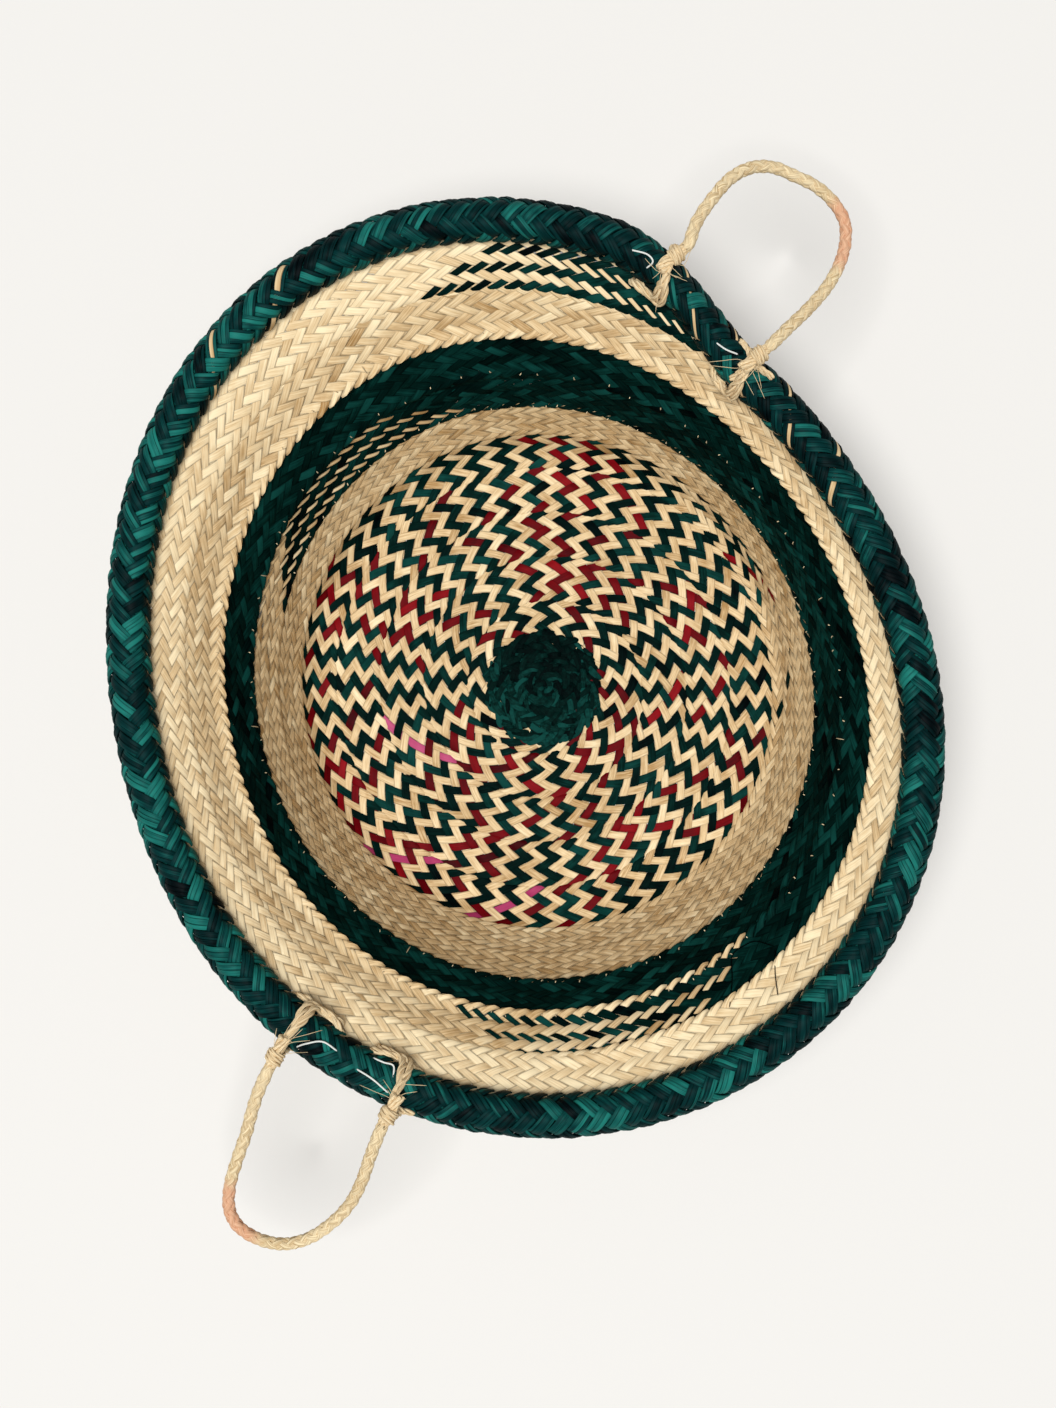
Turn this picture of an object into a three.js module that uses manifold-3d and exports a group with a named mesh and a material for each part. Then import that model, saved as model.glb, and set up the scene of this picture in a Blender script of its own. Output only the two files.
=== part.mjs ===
// Palm leaf basket. One long twill plait is wound in a spiral, clockwise as seen from above, and sewn
// edge over edge: a flat coiled base, a corner turn and five leaning wall turns. A heavy braid over a
// round core closes the top edge, and two rope handles swing at cords that are tied round that rim.
// Millimetres, +Z up, the origin in the middle of the base's underside, angles clockwise from +Y.
import * as THREE from "three";
import { mergeVertices } from "three/addons/utils/BufferGeometryUtils.js";
import Module from "manifold-3d";

const wasm = await Module();
wasm.setup();

// Plait
const TURN_WIDTH = 25; // width of a turn that shows
const PLAIT_THICKNESS = 1.6;
const GAP = 0.3; // clearance between pieces
const LAP_WIDTH = 4; // inner edge of a turn that lies over the turn before it
const LAP_SHARE = 0.3; // most of a narrow turn's own width that laps
const LAP_REACH = 0.2; // most of the turn before it that the lap covers
const RAMP_SHARE = 0.35; // most of a narrow turn's width that slopes down from the lap
const CREST_SHARE = 0.3; // share of that slope that stays level
const STEP = 7.5; // degrees of one sweep step
const COARSE_STEP = 15; // the same, in the middle of the base

// Centre of the base
const COIL_WIDTH = 7.5; // width of the narrow braid in the middle
const COIL_TURNS = 3;
const COIL_THICKNESS = 2.6;

// Meridian: flat base, corner, then a wall that leans out more and more
const BASE_FLAT = 123; // radius of the flat part
const CORNER_RADIUS = 16;
const LOW_LEAN = 23.5; // degrees from vertical above the corner
const MID_LEAN = 41.5;
const TOP_LEAN = 64;
const MID_FROM = 0.3; // shares of the wall's height where each lean sets in, and over how much of it
const MID_OVER = 0.55;
const TOP_FROM = 0.74;
const TOP_OVER = 0.4;
const MERIDIAN_STEP = 0.5;

// Soft oval shape: second and third harmonics of the radius
const BASE_OVAL = 0.007;
const RIM_OVAL = 0.066;
const RIM_THIRD = 0.0146;
const OVAL_ANGLE = -23;
const THIRD_ANGLE = -16;

// Where the plait starts, where its turns are divided and where its tail ends, degrees along the spiral
const FULL_WIDTH_AT = -1410;
const DIVIDE_AT = 60;
const TAIL_END = 1828;
const TAIL_TAPER_FROM = 370;
const TAIL_TAPER_TO = 396;
const BASE_TURNS = 4;
const WALL_TURNS = 5;

// Rim
const RIM_ALONG = 10.2; // half height of the braid, along the wall
const RIM_ACROSS = 12; // half width of the braid, across the wall
const RIM_RISE = 3.5; // centre of the braid above the plait's edge
const CORE_RADIUS = 3.4;
const CORE_RISE = 4.8;
const RIM_SIDES = 10;
const RIM_SLOT = 0.5; // room on each side of the plait's edge
const RIM_FIT = 0.27; // clearance cut between the braid and the plait
const CHANNEL_SIDES = 6;
const CORE_SIDES = 8;

// Handles
const ROPE_RADIUS = 3.25;
const TIE_RADIUS = 2.2;
const KNOT_RADIUS = 6.4;
const KNOT_LENGTH = 15;
const HANDLE_DROOP = 25; // degrees below level, as the stiff rope stays
const ROPE_SIDES = 8;
const ROPE_STEPS = 32;
const ROPE_CLEARANCE = 0.35; // between a rope's round end and its knot
const ROPE_END_FIT = 0.995; // round end's share of the rope's radius
const TIE_STEPS = 28;
const TIE_CLEARANCE = 1.0; // beyond the gap, where a tie bends round the rim
const KNOT_WRAPS = 3;
const KNOT_GROOVE = 1.2;
const KNOT_SIDES = 9;

const COLOURS = {
  natural: 0xd9bf8c,
  green: 0x0f5246,
  pattern: 0x8f8f62,
  rim: 0x156458,
  rope: 0xcdb27a,
};

const rad = THREE.MathUtils.degToRad;
const smooth = (t) => THREE.MathUtils.smoothstep(t, 0, 1);

// Distance of the plait's inner edge from the centre, measured along the meridian, at a spiral angle.
function innerEdge(turnAngle) {
  const beyond = (turnAngle - FULL_WIDTH_AT) / 360;
  const start = COIL_WIDTH * (COIL_TURNS + 1);
  return start + (beyond > 0 ? TURN_WIDTH : COIL_WIDTH) * beyond;
}

const LAST_TURN = DIVIDE_AT + 360 * (WALL_TURNS - 1);
const TOP_OF_WALL = innerEdge(LAST_TURN + 360);

// Lean of the meridian from vertical, in degrees, at a distance along it.
function leanAt(u) {
  const arc = CORNER_RADIUS * rad(90 - LOW_LEAN);
  if (u < BASE_FLAT) return 90;
  if (u < BASE_FLAT + arc) return 90 - ((90 - LOW_LEAN) * (u - BASE_FLAT)) / arc;
  const wall = (u - BASE_FLAT - arc) / (TOP_OF_WALL - BASE_FLAT - arc);
  return (
    LOW_LEAN +
    (MID_LEAN - LOW_LEAN) * smooth((wall - MID_FROM) / MID_OVER) +
    (TOP_LEAN - MID_LEAN) * smooth((wall - TOP_FROM) / TOP_OVER)
  );
}

// The meridian, summed in short steps.
const meridian = [{ r: 0, z: 0 }];
for (let u = MERIDIAN_STEP / 2; u < TOP_OF_WALL + 3 * TURN_WIDTH; u += MERIDIAN_STEP) {
  const last = meridian[meridian.length - 1];
  const lean = rad(leanAt(u));
  meridian.push({
    r: last.r + Math.sin(lean) * MERIDIAN_STEP,
    z: last.z + Math.cos(lean) * MERIDIAN_STEP,
  });
}

// Radius and height of the meridian at a distance along it.
function meridianAt(u) {
  const at = Math.max(u, 0) / MERIDIAN_STEP;
  const i = Math.min(Math.floor(at), meridian.length - 2);
  return {
    r: THREE.MathUtils.lerp(meridian[i].r, meridian[i + 1].r, at - i),
    z: THREE.MathUtils.lerp(meridian[i].z, meridian[i + 1].z, at - i),
  };
}

// Oval factor of the radius: none in the middle, a little at the base's edge and most at the rim.
function ovalAt(u, angle) {
  const up = THREE.MathUtils.clamp((u - BASE_FLAT) / (TOP_OF_WALL - BASE_FLAT), 0, 1.1);
  const low = Math.min(u / BASE_FLAT, 1) * BASE_OVAL;
  return (
    1 +
    (low + (RIM_OVAL - BASE_OVAL) * up) * Math.cos(2 * rad(angle - OVAL_ANGLE)) +
    RIM_THIRD * up * Math.cos(3 * rad(angle - THIRD_ANGLE))
  );
}

// A point u along the meridian and n off its outer face towards the inside.
function place(u, n, angle) {
  const on = meridianAt(u);
  const lean = rad(leanAt(u));
  const wide = (on.r - n * Math.cos(lean)) * ovalAt(u, angle);
  const z = on.z + n * Math.sin(lean);
  return new THREE.Vector3(wide * Math.sin(rad(angle)), wide * Math.cos(rad(angle)), z);
}

// Line of the top edge: it climbs with the spiral and falls back where the plait's tail is tucked in.
function topEdge(angle) {
  const turn = TAIL_TAPER_TO - 360 + THREE.MathUtils.euclideanModulo(angle - TAIL_TAPER_TO, 360);
  const taper = smooth((turn - TAIL_TAPER_FROM) / (TAIL_TAPER_TO - TAIL_TAPER_FROM));
  return innerEdge(turn + 360 * WALL_TURNS) - TURN_WIDTH * taper;
}

function signedVolume(positions, indices) {
  const a = new THREE.Vector3();
  const b = new THREE.Vector3();
  const c = new THREE.Vector3();
  let sum = 0;
  for (let i = 0; i < indices.length; i += 3) {
    a.fromArray(positions, 3 * indices[i]);
    b.fromArray(positions, 3 * indices[i + 1]);
    c.fromArray(positions, 3 * indices[i + 2]);
    sum += a.dot(b.cross(c));
  }
  return sum / 6;
}

// Joins equal rings of points into a closed solid; an open run of rings gets a cap at each end.
function sweep(rings, outline, closed) {
  const count = outline.length;
  const positions = rings.flat().flatMap((p) => [p.x, p.y, p.z]);
  const indices = [];
  const spans = closed ? rings.length : rings.length - 1;
  for (let i = 0; i < spans; i++) {
    const next = (i + 1) % rings.length;
    for (let j = 0; j < count; j++) {
      const k = (j + 1) % count;
      indices.push(i * count + j, next * count + j, next * count + k);
      indices.push(i * count + j, next * count + k, i * count + k);
    }
  }
  if (!closed) {
    const turning = Math.sign(THREE.ShapeUtils.area(outline));
    const last = (rings.length - 1) * count;
    for (const [a, b, c] of THREE.ShapeUtils.triangulateShape(outline, [])) {
      const same = Math.sign(THREE.ShapeUtils.area([outline[a], outline[b], outline[c]])) === turning;
      const [p, q] = same ? [b, c] : [c, b];
      indices.push(a, p, q);
      indices.push(last + a, last + q, last + p);
    }
  }
  if (signedVolume(positions, indices) < 0) {
    for (let i = 0; i < indices.length; i += 3) {
      [indices[i + 1], indices[i + 2]] = [indices[i + 2], indices[i + 1]];
    }
  }
  const geometry = new THREE.BufferGeometry();
  geometry.setAttribute("position", new THREE.Float32BufferAttribute(positions, 3));
  geometry.setIndex(indices);
  geometry.computeVertexNormals();
  return geometry;
}

function toSolid(geometry) {
  const plain = geometry.clone();
  plain.deleteAttribute("normal");
  plain.deleteAttribute("uv");
  const merged = mergeVertices(plain, 1e-4);
  return new wasm.Manifold(
    new wasm.Mesh({
      numProp: 3,
      vertProperties: merged.attributes.position.array,
      triVerts: new Uint32Array(merged.index.array),
    }),
  );
}

function toGeometry(solid) {
  const mesh = solid.getMesh();
  const geometry = new THREE.BufferGeometry();
  geometry.setAttribute("position", new THREE.BufferAttribute(mesh.vertProperties, 3));
  geometry.setIndex(new THREE.BufferAttribute(mesh.triVerts, 1));
  geometry.computeVertexNormals();
  return geometry;
}

function cut(geometry, tools) {
  return toGeometry(tools.reduce((solid, tool) => solid.subtract(toSolid(tool)), toSolid(geometry)));
}

// Section of the plait in (u, n): a flat body, and an inner edge that steps up over the turn before it.
function plaitSection(inner, outer, before, thick, bends) {
  const width = outer - inner;
  const lap = Math.min(LAP_WIDTH, width * LAP_SHARE, before * LAP_REACH);
  const ramp = Math.min(LAP_WIDTH, width * RAMP_SHARE);
  const edge = outer - GAP;
  const section = [];
  const spans = bends ? 4 : 1;
  for (let i = 0; i <= spans; i++) {
    section.push([inner + ((edge - inner) * i) / spans, 0]);
  }
  for (let i = 0; i <= spans; i++) {
    section.push([edge - ((edge - inner - ramp) * i) / spans, thick]);
  }
  section.push([inner + ramp * CREST_SHARE, 2 * thick + GAP]);
  section.push([inner - lap, 2 * thick + GAP]);
  section.push([inner - lap, thick + GAP]);
  section.push([inner, thick + GAP]);
  return section;
}

// One length of the plait between two spiral angles.
function plaitLength(from, to, { step = STEP, bends = false, outerEdge } = {}) {
  const outer = outerEdge || ((turn) => innerEdge(turn + 360));
  const steps = Math.round((to - from) / step);
  const rings = [];
  for (let i = 0; i <= steps; i++) {
    const ends = i === 0 ? 1 : i === steps ? -1 : 0;
    const turn = from + ((to - from) * i) / steps;
    const inner = innerEdge(turn);
    const butt = THREE.MathUtils.radToDeg(GAP / 2 / meridianAt(inner).r);
    const before = inner - innerEdge(turn - 360);
    const section = plaitSection(inner, outer(turn), before, PLAIT_THICKNESS, bends);
    rings.push(section.map(([u, n]) => place(u, n, turn + ends * butt)));
  }
  const full = plaitSection(0, TURN_WIDTH, TURN_WIDTH, PLAIT_THICKNESS, bends);
  const outline = full.map(([u, n]) => new THREE.Vector2(u, n));
  return sweep(rings, outline, false);
}

// A point in the rim's own section: a along the wall from its top edge, b across it from its middle.
function rimPoint(angle, a, b) {
  const top = topEdge(angle);
  const lean = rad(leanAt(top));
  const edge = place(top, PLAIT_THICKNESS / 2, angle);
  const out = a * Math.sin(lean) - b * Math.cos(lean);
  edge.x += out * Math.sin(rad(angle));
  edge.y += out * Math.cos(rad(angle));
  edge.z += a * Math.cos(lean) + b * Math.sin(lean);
  return edge;
}

// Section of the rim braid: a thick oval, open below where it straddles the plait's edge, with a
// round channel for the core. grow makes the same shape larger, for clearance cuts.
function rimSection(grow) {
  const slot = PLAIT_THICKNESS / 2 + RIM_SLOT - grow;
  const along = RIM_ALONG + grow;
  const across = RIM_ACROSS + grow;
  const channel = (CORE_RADIUS + GAP) / Math.cos(Math.PI / CHANNEL_SIDES) - grow;
  const section = [];
  const mouth = Math.asin(slot / across);
  for (let i = 0; i <= RIM_SIDES; i++) {
    const t = mouth + ((2 * Math.PI - 2 * mouth) * i) / RIM_SIDES;
    section.push([RIM_RISE - along * Math.cos(t), across * Math.sin(t)]);
  }
  const neck = Math.asin(slot / channel);
  for (let i = 0; i <= CHANNEL_SIDES; i++) {
    const t = neck + ((2 * Math.PI - 2 * neck) * i) / CHANNEL_SIDES;
    section.push([CORE_RISE - channel * Math.cos(t), -channel * Math.sin(t)]);
  }
  return section;
}

function rimSweep(section) {
  const rings = [];
  for (let angle = 0; angle < 360; angle += STEP) {
    rings.push(section.map(([a, b]) => rimPoint(angle, a, b)));
  }
  return sweep(rings, section.map(([a, b]) => new THREE.Vector2(a, b)), true);
}

// A round cord along a smooth path.
function cord(points, radius, steps, sides = ROPE_SIDES) {
  const shape = new THREE.Shape();
  for (let i = 0; i < sides; i++) {
    const t = (2 * Math.PI * (i + 0.5)) / sides;
    if (i === 0) shape.moveTo(radius * Math.cos(t), radius * Math.sin(t));
    else shape.lineTo(radius * Math.cos(t), radius * Math.sin(t));
  }
  shape.closePath();
  return new THREE.ExtrudeGeometry(shape, {
    steps,
    bevelEnabled: false,
    extrudePath: new THREE.CatmullRomCurve3(points, false, "centripetal"),
  });
}

// Middle of the knot that sits on the rim at an angle, shifted out from the rim's middle, and the way
// out from it.
function knotAxis(angle, shift) {
  const outward = new THREE.Vector3(Math.sin(rad(angle)), Math.cos(rad(angle)), 0);
  const lean = rad(leanAt(topEdge(angle)));
  const crown = Math.hypot(RIM_ALONG * Math.cos(lean), RIM_ACROSS * Math.sin(lean));
  const centre = rimPoint(angle, RIM_RISE, 0).addScaledVector(outward, shift);
  centre.z += crown + GAP + KNOT_RADIUS;
  return { outward, centre };
}

// A tie: it comes over the rim at one angle and goes out through the wall at another. Out of the knot, over
// the rim, along the wall's inside, out through the wall and back up into the knot. more lengthens both
// ends, for the bore that it leaves in the knot.
function tiePath({ over, back, shift }, more) {
  const along = RIM_ALONG + TIE_RADIUS + GAP + TIE_CLEARANCE;
  const across = RIM_ACROSS + TIE_RADIUS + GAP + TIE_CLEARANCE;
  const round = (turn, angle) =>
    rimPoint(angle, RIM_RISE + along * Math.cos(rad(turn)), across * Math.sin(rad(turn)));
  const { outward, centre } = knotAxis(over, shift);
  const near = (out, up) => {
    const p = centre.clone().addScaledVector(outward, out);
    p.z += up;
    return p;
  };
  return [
    near(more, 0),
    near(-KNOT_LENGTH * 0.35, 0),
    near(-KNOT_LENGTH * 0.72, -TIE_RADIUS),
    round(100, over),
    round(124, over),
    round(145, over + (back - over) * 0.12),
    round(155, (over + back) / 2),
    round(160, back + (over - back) * 0.12),
    round(180, back),
    round(205, back),
    round(245, back + (over - back) * 0.35),
    round(285, back + (over - back) * 0.75),
    round(320, over),
    round(345, over),
    near(KNOT_LENGTH * 0.3, -KNOT_RADIUS - TIE_RADIUS / 2),
    near(KNOT_LENGTH * 0.22, -TIE_RADIUS / 2 + more),
  ];
}

// A wrapped knot: a short barrel of three turns of cord, bored where the tie passes through it.
function knot({ over, shift }, direction, bore) {
  const { centre } = knotAxis(over, shift);
  const profile = [new THREE.Vector2(0, -KNOT_LENGTH / 2)];
  const wrap = KNOT_LENGTH / KNOT_WRAPS;
  for (let i = 0; i < KNOT_WRAPS; i++) {
    const y = -KNOT_LENGTH / 2 + wrap * i;
    profile.push(new THREE.Vector2(KNOT_RADIUS - KNOT_GROOVE, y + 0.02 * wrap));
    profile.push(new THREE.Vector2(KNOT_RADIUS, y + 0.5 * wrap));
  }
  profile.push(new THREE.Vector2(KNOT_RADIUS - KNOT_GROOVE, KNOT_LENGTH / 2));
  profile.push(new THREE.Vector2(0, KNOT_LENGTH / 2));
  const barrel = new THREE.LatheGeometry(profile, KNOT_SIDES);
  barrel.applyQuaternion(new THREE.Quaternion().setFromUnitVectors(new THREE.Vector3(0, 1, 0), direction));
  barrel.translate(centre.x, centre.y, centre.z);
  return cut(barrel, [bore]);
}

// One handle: the rope's loop hangs from the line between two knots.
function handle(name, ties, loop) {
  const [first, second] = ties.map((tie) => knotAxis(tie.over, tie.shift));
  const across = second.centre.clone().sub(first.centre);
  const up = new THREE.Vector3(0, 0, 1);
  const outward = new THREE.Vector3().crossVectors(across, up).normalize();
  if (outward.dot(first.outward) < 0) outward.negate();
  const reach = KNOT_LENGTH / 2 + ROPE_RADIUS + ROPE_CLEARANCE;
  const hinges = [first, second].map((end) => end.centre.clone().addScaledVector(outward, reach));
  const axis = hinges[1].clone().sub(hinges[0]);
  const span = axis.length();
  axis.normalize();
  const side = new THREE.Vector3().crossVectors(axis, outward).normalize();
  const level = new THREE.Vector3().crossVectors(side, axis).normalize();
  if (side.z > 0) side.negate();
  const fall = level
    .clone()
    .multiplyScalar(Math.cos(rad(HANDLE_DROOP)))
    .addScaledVector(side, Math.sin(rad(HANDLE_DROOP)));
  const path = loop.map(([x, y]) =>
    hinges[0].clone().addScaledVector(axis, x * span).addScaledVector(fall, y),
  );
  const rope = toSolid(cord(path, ROPE_RADIUS, ROPE_STEPS));
  const ends = [path[0], path[path.length - 1]].map((p) => {
    const ball = new THREE.SphereGeometry(ROPE_RADIUS * ROPE_END_FIT, 8, 6);
    ball.translate(p.x, p.y, p.z);
    return toSolid(ball);
  });
  const pieces = [[name + "_rope", toGeometry(ends.reduce((s, e) => s.add(e), rope)), "rope"]];
  const bores = [];
  ties.forEach((tie, i) => {
    const bore = cord(tiePath(tie, GAP), TIE_RADIUS + GAP, TIE_STEPS);
    pieces.push([name + "_tie_" + (i + 1), cord(tiePath(tie, 0), TIE_RADIUS, TIE_STEPS), "rope"]);
    pieces.push([name + "_knot_" + (i + 1), knot(tie, outward, bore), "rope"]);
    bores.push(cord(tiePath(tie, 0), TIE_RADIUS + GAP, TIE_STEPS));
  });
  return { pieces, bores };
}

// Loops of the handles: share of the distance between the knots, and millimetres out from it.
const LOOP_A = [
  [0, 0],
  [-0.09, 12],
  [-0.16, 30],
  [-0.19, 47],
  [-0.145, 61],
  [-0.04, 71],
  [0.12, 78],
  [0.28, 84],
  [0.46, 86.5],
  [0.64, 84.5],
  [0.77, 77],
  [0.87, 66],
  [0.945, 51],
  [0.98, 33],
  [0.99, 15],
  [1, 0],
];
const LOOP_B = [
  [0, 0],
  [0, 14],
  [0.02, 28],
  [0.05, 42],
  [0.07, 59],
  [0.11, 79],
  [0.19, 93],
  [0.31, 100],
  [0.5, 101.5],
  [0.7, 97],
  [0.86, 86.5],
  [0.975, 71],
  [1.045, 53],
  [1.05, 36],
  [1.02, 18],
  [1, 0],
];
const HANDLE_A = handle(
  "handle_a",
  [
    { over: 18.5, back: 14.5, shift: 5 },
    { over: 34.5, back: 31, shift: 5 },
  ],
  LOOP_A,
);
const HANDLE_B = handle(
  "handle_b",
  [
    { over: 214.5, back: 210, shift: 11 },
    { over: 198, back: 202.5, shift: 7 },
  ],
  LOOP_B,
);
const BORES = [...HANDLE_A.bores, ...HANDLE_B.bores];

const group = new THREE.Group();
group.name = "palm_leaf_basket";
function add(name, geometry, colour) {
  const material = new THREE.MeshStandardMaterial({ color: COLOURS[colour], roughness: 0.7 });
  const mesh = new THREE.Mesh(geometry, material);
  mesh.name = name;
  group.add(mesh);
}

// Centre of the base: the folded start of the braid, and the narrow green braid coiled round it.
const coilStart = FULL_WIDTH_AT - 360 * COIL_TURNS;
function snail() {
  const flat = (r, angle) => {
    const p = place(r, 0, angle);
    return new THREE.Vector2(p.x, p.y);
  };
  const points = [];
  for (let angle = 0; angle < 360; angle += COARSE_STEP) {
    points.push(flat(innerEdge(coilStart + angle) - GAP, coilStart + angle));
  }
  const wide = innerEdge(coilStart + 360) - GAP;
  const narrow = innerEdge(coilStart) - GAP;
  points.push(flat(wide, coilStart - THREE.MathUtils.radToDeg(GAP / wide)));
  points.push(flat(narrow, coilStart - THREE.MathUtils.radToDeg(GAP / narrow)));
  return new THREE.ExtrudeGeometry(new THREE.Shape(points), { depth: COIL_THICKNESS, bevelEnabled: false });
}
add("centre_start", snail(), "green");

function coil() {
  const steps = Math.round((DIVIDE_AT - 360 * (BASE_TURNS + 1) - coilStart) / COARSE_STEP);
  const rings = [];
  const outline = [
    [0, 0],
    [1, 0],
    [1, 0.5],
    [0.7, 0.7],
    [0.5, 1],
    [0.2, 1],
    [0, 0.6],
  ];
  for (let i = 0; i <= steps; i++) {
    const turn = coilStart + i * COARSE_STEP;
    const inner = innerEdge(turn);
    const width = innerEdge(turn + 360) - GAP - inner;
    rings.push(outline.map(([u, n]) => place(inner + u * width, n * COIL_THICKNESS, turn)));
  }
  return sweep(rings, outline.map(([u, n]) => new THREE.Vector2(u, n)), false);
}
add("centre_coil", coil(), "green");

// Base turns, the corner turn and the wall turns of the plait.
const firstTurn = DIVIDE_AT - 360 * (BASE_TURNS + 1);
for (let i = 0; i < BASE_TURNS; i++) {
  const from = firstTurn + 360 * i;
  const coarse = i < 2;
  const options = { step: coarse ? COARSE_STEP : STEP, bends: i === BASE_TURNS - 1 };
  add("base_turn_" + (i + 1), plaitLength(from, from + 360, options), "pattern");
}
add("corner_turn", plaitLength(DIVIDE_AT - 360, DIVIDE_AT, { bends: true }), "pattern");
const rimClearance = rimSweep(rimSection(RIM_FIT));
for (let i = 0; i < WALL_TURNS; i++) {
  const from = DIVIDE_AT + 360 * i;
  const last = i === WALL_TURNS - 1;
  const to = last ? TAIL_END : from + 360;
  const outerEdge = last ? (turn) => topEdge(turn) : undefined;
  let length = plaitLength(from, to, { outerEdge });
  if (i >= WALL_TURNS - 2) length = cut(length, [rimClearance, ...BORES]);
  add("wall_turn_" + (i + 1), length, i === 2 || i === 3 ? "green" : "natural");
}

// Rim: the core, and the heavy braid that straddles the plait's edge.
const coreOutline = [];
for (let i = 0; i < CORE_SIDES; i++) {
  const t = (2 * Math.PI * i) / CORE_SIDES;
  coreOutline.push([CORE_RISE + CORE_RADIUS * Math.cos(t), CORE_RADIUS * Math.sin(t)]);
}
add("rim_core", rimSweep(coreOutline), "natural");
add("rim_braid", rimSweep(rimSection(0)), "rim");

for (const side of [HANDLE_A, HANDLE_B]) {
  for (const [name, geometry, colour] of side.pieces) add(name, geometry, colour);
}

export default group;
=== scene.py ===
import math
import random

import bmesh
import bpy
import numpy as np
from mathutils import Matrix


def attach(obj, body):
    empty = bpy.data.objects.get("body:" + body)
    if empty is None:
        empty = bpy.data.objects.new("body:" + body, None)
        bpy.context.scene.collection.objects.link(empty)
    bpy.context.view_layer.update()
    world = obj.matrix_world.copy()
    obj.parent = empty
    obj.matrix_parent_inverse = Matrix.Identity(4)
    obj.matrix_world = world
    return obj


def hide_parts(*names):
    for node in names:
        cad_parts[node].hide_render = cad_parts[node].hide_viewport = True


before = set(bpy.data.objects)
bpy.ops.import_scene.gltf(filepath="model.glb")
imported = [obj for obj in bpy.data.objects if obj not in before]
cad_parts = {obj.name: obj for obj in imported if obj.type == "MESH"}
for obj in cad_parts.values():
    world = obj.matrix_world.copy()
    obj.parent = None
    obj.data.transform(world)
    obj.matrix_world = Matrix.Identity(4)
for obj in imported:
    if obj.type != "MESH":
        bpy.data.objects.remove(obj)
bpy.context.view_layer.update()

# Camera: it looks straight down from a metre above the floor, a little to the right of the
# basket's middle, as the photograph was taken.
camera_data = bpy.data.cameras.new("camera")
camera_data.sensor_width = 36
camera_data.lens = 46.02
camera_data.shift_x = -0.088
camera_data.shift_y = -0.0026
camera = bpy.data.objects.new("camera", camera_data)
camera.location = (0.061, -0.007, 1.022)
bpy.context.scene.collection.objects.link(camera)
bpy.context.scene.camera = camera

# Handle ropes: each is a round plait of eight flat strands of twisted palm fibre, four each way,
# 6.5 mm thick, bent into a stiff loop between two knots on the rim. Part of each loop is stained
# pink.
ROPE_LAY = 0.034  # a strand goes once round the rope in this length
ROPE_DROOP = math.radians(25)  # how far below level the stiff loop comes to rest
ROPE_TUCK = 0.0028  # how far each end goes on into its knot
random.seed(7)  # so that every run lays the same strands
chance = np.random.default_rng(7)


def linear(hex_colour):
    """An sRGB hex colour as linear light."""
    parts = [int(hex_colour[i : i + 2], 16) / 255 for i in (1, 3, 5)]
    return [c / 12.92 if c <= 0.04045 else ((c + 0.055) / 1.055) ** 2.4 for c in parts] + [1.0]


def node(tree, kind, inputs=(), **settings):
    """Add one node with its settings; inputs holds its links and its numbers."""
    made = tree.nodes.new(kind)
    for key, value in settings.items():
        setattr(made, key, value)
    for key, value in dict(inputs).items():
        if isinstance(value, bpy.types.NodeSocket):
            tree.links.new(value, made.inputs[key])
        else:
            made.inputs[key].default_value = value
    return made


def smooth_path(points, count):
    """Evenly spaced points on a centripetal Catmull-Rom curve through the points."""
    p = np.array(points, float)
    p = np.vstack([2 * p[0] - p[1], p, 2 * p[-1] - p[-2]])
    dense = []
    for i in range(1, len(p) - 2):
        a, b, c, d = p[i - 1 : i + 3]
        t0 = 0.0
        t1 = t0 + np.linalg.norm(b - a) ** 0.5
        t2 = t1 + np.linalg.norm(c - b) ** 0.5
        t3 = t2 + np.linalg.norm(d - c) ** 0.5
        for t in np.linspace(t1, t2, 24, endpoint=False):
            ab = ((t1 - t) * a + (t - t0) * b) / (t1 - t0)
            bc = ((t2 - t) * b + (t - t1) * c) / (t2 - t1)
            cd = ((t3 - t) * c + (t - t2) * d) / (t3 - t2)
            abc = ((t2 - t) * ab + (t - t0) * bc) / (t2 - t0)
            bcd = ((t3 - t) * bc + (t - t1) * cd) / (t3 - t1)
            dense.append(((t2 - t) * abc + (t - t1) * bcd) / (t2 - t1))
    dense = np.array(dense + [p[-2]])
    along = np.concatenate([[0], np.cumsum(np.linalg.norm(np.diff(dense, axis=0), axis=1))])
    even = np.linspace(0, along[-1], count)
    return np.column_stack([np.interp(even, along, dense[:, k]) for k in range(3)])


def frames_along(path):
    """Tangents, and two directions square to them that don't twist along the path."""
    tangent = np.gradient(path, axis=0)
    tangent /= np.linalg.norm(tangent, axis=1)[:, None]
    side = np.zeros_like(path)
    start = np.cross(tangent[0], [0.31, 0.17, 0.93])  # any direction that no path here follows
    side[0] = start / np.linalg.norm(start)
    for i in range(1, len(path)):
        v = side[i - 1] - tangent[i] * np.dot(side[i - 1], tangent[i])
        side[i] = v / np.linalg.norm(v)
    return tangent, side, np.cross(tangent, side)


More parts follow.
